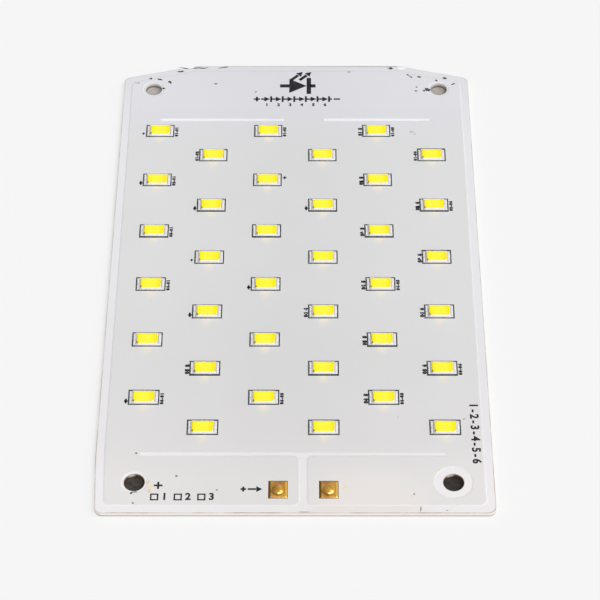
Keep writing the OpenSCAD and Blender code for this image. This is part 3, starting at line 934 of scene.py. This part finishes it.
def ink_arrow_head(place, size, turn):
    """Printed triangle that points along a turn."""
    clear_selection()
    bpy.ops.mesh.primitive_circle_add(
        vertices=3, radius=size * MM, fill_type="NGON", location=(place[0] * MM, place[1] * MM, MASK_TOP),
        rotation=(0, 0, turn - math.pi / 2))
    return settle()


def ink_diode(place, size, stroke):
    """Printed diode sign, arrow to the right."""
    x, y = place
    bar = x + 0.8 * size + stroke / 2
    return [
        ink_line((x - 1.5 * size + stroke / 2, y), (x - 0.7 * size - stroke / 2, y), stroke),
        ink_arrow_head((x - 0.2 * size, y), size, 0),
        ink_line((bar, y - 0.8 * size), (bar, y + 0.8 * size), stroke),
        ink_line((bar + stroke, y), (x + 1.5 * size - stroke / 2, y), stroke),
    ]


def ink_plus(place, size, stroke):
    """Printed plus sign of three strokes that meet without overlap."""
    x, y = place
    reach = (size - stroke) / 2
    return [
        ink_line((x - reach, y), (x + reach, y), stroke),
        ink_line((x, y + stroke), (x, y + reach), stroke),
        ink_line((x, y - reach), (x, y - stroke), stroke),
    ]


def ink_box(place, size, stroke):
    """Printed square outline from its lower left corner."""
    x, y = place
    return [ink_line((x, y + rise), (x + size, y + rise), stroke) for rise in (0, size)] + [
        ink_line((x + run, y + stroke), (x + run, y + size - stroke), stroke) for run in (0, size)]


def print_ink(pieces, name):
    """Joins flat prints, gives them the ink's thickness and dresses them."""
    ink = join(pieces, name)
    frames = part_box("legend_frames")
    apply(ink, "SOLIDIFY", thickness=frames[1].z - frames[0].z, offset=1.0)
    select_only(ink)
    edit_all()
    bpy.ops.mesh.normals_make_consistent(inside=False)
    clear_selection()
    dress(ink, legend_ink())


# Marks round the three LEDs of each row, a letter for each
LABELS = (
    ("MR", "R", "BR"), ("L", "", "LU"), ("PR", "S", "B"), ("PF", "PF", "BRF"),
    ("RF", "F", "BF"), ("M", "", "BU"), ("R", "P", "BR"), ("P", "B", "B"),
    ("", "", "BF"), ("BF", "F", "BRF"), ("PRT", "RT", "BRT"), ("T", "T", "T"),
)
# Numbers at the right, at the left, and bold at the left: letter, place aside, relative height, boldness
NUMBERS = (("R", 3.8, 1.0, 0.18), ("L", -3.65, 1.0, 0.18), ("B", -3.65, 1.1, 0.22))
# Plus signs low at the left, faint there, and high at the right: letter, place, size, stroke
PLUSES = (("P", -3.65, -0.85, 0.75, 0.4), ("M", -3.8, -0.75, 0.6, 0.24), ("S", 3.9, 0.75, 0.9, 0.3))
# Width of the lines of the printed frames
FRAME_STROKE = 0.26


class LEDBOARD_OT_labels(bpy.types.Operator):
    """Prints the numbers, plus signs and thick lines round the LEDs"""
    bl_idname = "led_board.labels"
    bl_label = "LED Labels"

    def execute(self, context):
        height = settings().legend.label_height / MM
        rows = sorted({round(p.y, 5) for p in LED_SEATS.values()}, reverse=True)
        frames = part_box("legend_frames")
        half = (FIRST_LED.x - frames[0].x) / MM
        front, back = (frames[0].y - LAST_LED.y) / MM, (frames[1].y - FIRST_LED.y) / MM
        # Frame lines that printed thick, behind the LED (T and U) against the outside of the frame, in front
        # (F) against its outside and its inside: letter, middle, width, distance from the frame's ends
        lines = (("T", back + 0.03, 0.06, 0), ("U", back + 0.07, 0.14, 0), ("F", front - 0.04, 0.08, 0),
                 ("F", front + FRAME_STROKE + 0.05, 0.1, FRAME_STROKE))
        prints = []
        for number, name in enumerate(HOUSINGS):
            x, y, _ = LED_SEATS[name] / MM
            row = min(range(len(rows)), key=lambda i: abs(rows[i] / MM - y))
            string, column = divmod(number, 6)
            marks = LABELS[row][column // 2]
            for letter, side, tall, bold in NUMBERS:
                if letter in marks:
                    words = ("%02d %d" if letter == "B" else "%02d-%02d") % (string + 1, column + 1)
                    prints.append(ink_text(words, (x + side, y - 0.2), tall * height, math.pi / 2, bold, 1.5))
            for letter, side, rise, size, stroke in PLUSES:
                if letter in marks:
                    prints += ink_plus((x + side, y + rise), size, stroke)
            for letter, line, width, inset in lines:
                if letter in marks:
                    reach = half - inset - width / 2
                    prints.append(ink_line((x - reach, y + line), (x + reach, y + line), width))
        print_ink(prints, "led_labels")
        return {"FINISHED"}


class LEDBOARD_OT_signs(bpy.types.Operator):
    """Prints the circuit sign at the top, the polarity signs and the number boxes"""
    bl_idname = "led_board.signs"
    bl_label = "Circuit and Polarity Signs"

    def execute(self, context):
        sign = ink_diode((0.3, 57.2), 2.7, 1.05)
        for shift in (0, 2.0):
            sign.append(ink_line((shift - 0.9, 59.4), (shift + 0.2, 60.5), 0.75))
            sign.append(ink_arrow_head((shift + 0.9, 61.2), 0.95, math.radians(45)))
        print_ink(sign, "led_sign")
        chain = ink_plus((-9.1, 52.8), 1.5, 0.45) + [ink_line((9.0, 52.8), (10.0, 52.8), 0.45)]
        for k in range(6):
            chain += ink_diode((-6.75 + 2.7 * k, 52.8), 0.9, 0.45)
            chain.append(ink_text(str(k + 1), (-6.75 + 2.7 * k, 50.9), 0.8, bold=0.09))
        print_ink(chain, "string_sign")
        marks = ink_plus((-27.15, -57.4), 1.75, 0.42)
        for k in range(3):
            marks += ink_box((-28.5 + 4.7 * k, -60.9), 1.35, 0.3)
            marks.append(ink_text(str(k + 1), (-25.8 + 4.7 * k, -60.2), 1.6, bold=0.05))
        marks += ink_plus((-10.1, -58.3), 1.1, 0.4)
        marks.append(ink_line((-9.0, -58.3), (-7.75, -58.3), 0.4))
        marks.append(ink_arrow_head((-7.1, -58.3), 0.8, 0))
        marks.append(ink_text("1-2-3-4-5-6", (36.85, -44.3), 1.68, -math.pi / 2, 0.05, 1.36))
        print_ink(marks, "polarity_marks")
        return {"FINISHED"}


# Specks on the mask: place, length and width in millimetres, turn in degrees
SOOT = (
    (-34.1, 59.7, 0.6, 0.55, 0), (-32, 59.4, 1.2, 0.45, -20), (-29.6, 58.5, 1.2, 0.55, -35),
    (-31, 56.4, 0.7, 0.45, 0), (-27.15, 62.1, 1.5, 0.4, 10), (-26.3, 63.3, 2.2, 0.25, -14),
    (-18.8, 57.9, 0.8, 0.35, 0), (-9.4, 55.2, 0.45, 0.35, 0), (-37.1, 58.2, 1.1, 0.15, 0),
    (22.25, 63.2, 1.35, 0.55, 0), (26.3, 60.9, 0.8, 0.35, -40), (27, 60.2, 0.7, 0.35, -40),
    (28.9, 60.2, 0.8, 0.6, 0), (29.9, 55.6, 0.6, 0.55, 0), (30.6, 56.1, 1, 0.9, 30),
    (28.2, 56.8, 0.4, 0.4, 0), (28, 55.5, 0.55, 0.45, 0), (32.9, 59, 0.7, 0.45, -30),
    (34.9, 59.8, 0.95, 0.55, 0), (36.8, 57.8, 0.95, 0.4, 10), (12.4, 61.9, 0.7, 0.25, 0),
    (-32, -49.4, 0.45, 0.35, 0), (-23.6, -55.1, 0.45, 0.4, 0), (-32.5, -59.3, 0.55, 0.35, 0),
    (-31.9, -59, 1.1, 0.2, 5), (-15.4, -58.5, 0.4, 0.25, 0), (34.8, -40.7, 0.35, 0.25, 0),
    (30.9, 55.75, 0.9, 0.75, 20),
)
SMEARS = (
    (-21.9, 63.3, 2, 0.45, 8), (-16.8, 63.6, 1.75, 0.35, 12), (-23.2, 63.35, 2, 0.55, 3),
    (-17.2, 63.5, 2.2, 0.4, 10), (24, -59.5, 0.5, 0.3, 70), (25.2, -63.1, 1.2, 0.25, 80),
    (30.4, -63.4, 0.5, 0.15, 10), (2, -63.75, 2.4, 0.12, 0), (-32, -61.7, 0.45, 0.4, 60),
)
GREY_MARKS = ((26.6, 42, 1.05, 0.6, 12), (27.25, 41.35, 0.45, 0.45, 0))
FLUX = ((-29.25, -56.6, 0.7, 0.6, 40), (-28.95, -58.8, 0.7, 0.6, -30), (21.3, -40.2, 0.3, 0.5, 0))
PALE_FLUX = (
    (-28.6, -57.8, 1.3, 1.1, 20), (10.4, -58, 1.3, 0.8, 0), (22.6, -59, 0.5, 0.6, 0),
    (23.5, -60.2, 0.5, 0.5, 0),
)


class LEDBOARD_OT_wear(bpy.types.Operator):
    """Scatters the soot specks, the paler smears, two pale grey marks and the flux spots that lie on the mask
    """
    bl_idname = "led_board.wear"
    bl_label = "Soot and Flux"

    def execute(self, context):
        look = settings().wear
        soot = mottled("Soot", look.soot, look.scorch, 0.4, 0.8)
        # Thin soot, rubbed out to a pale grey, and two pale grey marks
        smear = mottled("Rubbed_soot", look.smear, look.rubbed, 0.5, 0.7)
        grey_mark = mottled("Grey_marked_mask", linear("#B4B2B1"), linear("#C4C3C2"), 0.5, 0.7)
        # Rosin flux: amber where it is thick, cream where it is thin
        flux = mottled("Rosin_flux", look.flux, linear("#EBD3B2"), 0.5, 0.3)
        thin_flux = mottled("Thin_rosin_flux", look.thin_flux, linear("#EFE4D2"), 0.5, 0.3)
        groups = (
            ("soot_specks", SOOT, 0.05, soot), ("flux_spots", FLUX, 0.02, flux),
            ("soot_smears", SMEARS, 0.02, smear), ("grey_marks", GREY_MARKS, 0.01, grey_mark),
            ("pale_flux_spots", PALE_FLUX, 0.01, thin_flux),
        )
        for number, (name, places, thickness, material) in enumerate(groups):
            self.scatter(name, places, thickness, material, look.seed + number)
        return {"FINISHED"}

    def scatter(self, name, places, thickness, material, seed):
        """Models one speck, flat underneath, and copies it to every place with its own size and lumps."""
        clear_selection()
        bpy.ops.mesh.primitive_ico_sphere_add(subdivisions=3, radius=1)
        speck = bpy.context.object
        edit_all()
        bpy.ops.mesh.bisect(plane_co=(0, 0, 0), plane_no=(0, 0, 1), clear_inner=True, use_fill=True)
        clear_selection()
        chance = random.Random(seed)
        specks = []
        for x, y, long, wide, turn in places:
            twin = own_copy(speck, name + "_one")
            waves = [(chance.uniform(0, 6.3), chance.uniform(0.06, 0.25)) for _ in range(4)]
            for vertex in twin.data.vertices:
                angle = math.atan2(vertex.co.y, vertex.co.x)
                swell = 1 + sum(a * math.sin((i + 2) * angle + p) for i, (p, a) in enumerate(waves))
                vertex.co.x, vertex.co.y = vertex.co.x * swell, vertex.co.y * swell
            level = MASK_TOP if self.over_copper(x, y) else MASK_LOW
            place = Matrix.Translation((x * MM, y * MM, level - 2 * HAIR))
            size = Matrix.Diagonal((long / 2 * MM, wide / 2 * MM, thickness * MM, 1))
            twin.data.transform(place @ Matrix.Rotation(math.radians(turn), 4, "Z") @ size)
            specks.append(twin)
        drop(speck)
        piece = join(specks, name)
        smooth(piece, 60)
        dress(piece, material)

    @staticmethod
    def over_copper(x, y):
        """True where the mask rides over copper: inside the border."""
        low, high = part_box("plus_bus")[0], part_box("minus_bus")[1]
        return low.x < x * MM < high.x and low.y < y * MM < high.y


class LEDBOARD_OT_stage(bpy.types.Operator):
    """Sets the pale floor, the soft light and the camera"""
    bl_idname = "led_board.stage"
    bl_label = "Stage"

    def execute(self, context):
        look = settings().stage
        self.floor(look)
        self.lights(look)
        clear_selection()
        bpy.ops.object.camera_add(location=look.camera_place, rotation=look.camera_turn)
        camera = context.object
        camera.data.lens = look.lens
        camera.data.sensor_width = 36
        camera.data.clip_start = 10 * MM
        context.scene.camera = camera
        context.scene.view_settings.view_transform = "Standard"
        return {"FINISHED"}

    @staticmethod
    def floor(look):
        """Matt paper floor just under the board, and the discs under the four holes, painted to stand for the
        shade seen through them.
        """
        clear_selection()
        bpy.ops.mesh.primitive_plane_add(size=4, location=(0, 0, -0.06 * MM))
        floor = added("floor")
        material = bpy.data.materials.new("Matt_paper_floor")
        node = partial(add, empty_tree(material))
        paper = node("BsdfPrincipled", {"Base Color": look.floor, "Roughness": 0.9})
        glow = node("Emission", (look.floor, 1))
        # The camera sees the paper mostly at its own tone, with a third of the shadow on it
        ray = node("LightPath").outputs["Is Camera Ray"]
        share = node("Math", (ray, 0.68), operation="MULTIPLY")
        seen = node("MixShader", (share, paper, glow))
        node("OutputMaterial", {"Surface": seen})
        floor.data.materials.append(material)
        # Painted shade under the holes: dark discs at the wire end, paler ones at the sloped end
        for name, side, hole, first, second in (
                ("shade_disc_lower_left", -1, LOW_HOLE, "#4C433B", "#2A231F"),
                ("shade_disc_lower_right", 1, LOW_HOLE, "#372F2A", "#1C1714"),
                ("shade_disc_upper_left", -1, TOP_HOLE, "#B9B4B1", "#ADA7A3"),
                ("shade_disc_upper_right", 1, TOP_HOLE, "#B4AEAA", "#A7A09B")):
            clear_selection()
            bpy.ops.mesh.primitive_circle_add(
                vertices=32, radius=4 * MM, fill_type="NGON",
                location=(side * hole[0] * MM, hole[1] * MM, -0.03 * MM))
            shade_disc = added(name)
            shade_disc.data.materials.append(mottled(name, linear(first), linear(second), 1.0, 0.7))

    @staticmethod
    def lights(look):
        """A key from the front, a soft box from the right, and a studio that is brighter on the right."""
        # Strength, turn from straight down in degrees, and how wide the light looks, in degrees
        for name, strength, turn, width in (("key_light", look.key, (34.2, 18.2), 30),
                                            ("soft_box", look.soft_box, (2.9, 36.9), 34)):
            clear_selection()
            bpy.ops.object.light_add(type="SUN", rotation=(math.radians(turn[0]), math.radians(turn[1]), 0))
            lamp = added(name)
            lamp.data.energy = strength
            lamp.data.angle = math.radians(width)
        world = bpy.context.scene.world or bpy.data.worlds.new("Studio")
        bpy.context.scene.world = world
        node = partial(add, empty_tree(world))
        ray = node("LightPath")
        around = node("TexCoord").outputs["Generated"]
        toward = node("VectorMath", (around, (0.94, -0.34, 0)), operation="DOT_PRODUCT")
        # Pale screens behind the camera lift what bright metal mirrors
        level, mirrored = (node("MapRange", (toward, -1, 1, dim, bright))
                           for dim, bright in ((0.05, 0.95), (0.22, 1)))
        light = node("Mix", (ray.outputs["Is Glossy Ray"], level, mirrored))
        studio = node("Background", (light, 1))
        backdrop = node("Background", (look.floor, 1))
        sky = node("MixShader", (ray.outputs["Is Camera Ray"], studio, backdrop))
        node("OutputWorld", {"Surface": sky})


OPERATORS = (
    LEDBOARD_OT_plate, LEDBOARD_OT_solder_mask, LEDBOARD_OT_housings, LEDBOARD_OT_phosphor,
    LEDBOARD_OT_wire_pads, LEDBOARD_OT_labels, LEDBOARD_OT_signs, LEDBOARD_OT_wear, LEDBOARD_OT_stage,
)


class LEDBOARD_PT_pieces(bpy.types.Panel):
    """Lists the board's pieces"""
    bl_idname = "LEDBOARD_PT_pieces"
    bl_label = "LED Board"
    bl_space_type = "VIEW_3D"
    bl_region_type = "UI"
    bl_category = "LED Board"

    def draw(self, context):
        for operator in OPERATORS:
            self.layout.operator(operator.bl_idname)


CLASSES = (
    BoardMask, BoardLed, BoardPad, BoardLegend, BoardWear, BoardStage, BoardSettings,
    *OPERATORS, LEDBOARD_PT_pieces,
)


def register():
    """Registers the classes and puts the settings on the scene."""
    for made in CLASSES:
        bpy.utils.register_class(made)
    bpy.types.Scene.led_board = bpy.props.PointerProperty(
        type=BoardSettings, name="LED board", description="Sizes and colours of the LED board")


def unregister():
    """Takes the settings and the classes away again."""
    del bpy.types.Scene.led_board
    for made in reversed(CLASSES):
        bpy.utils.unregister_class(made)


def main():
    """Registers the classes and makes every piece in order."""
    register()
    for operator in OPERATORS:
        group, name = operator.bl_idname.split(".")
        getattr(getattr(bpy.ops, group), name)()
    clear_selection()


if __name__ == "__main__":
    main()
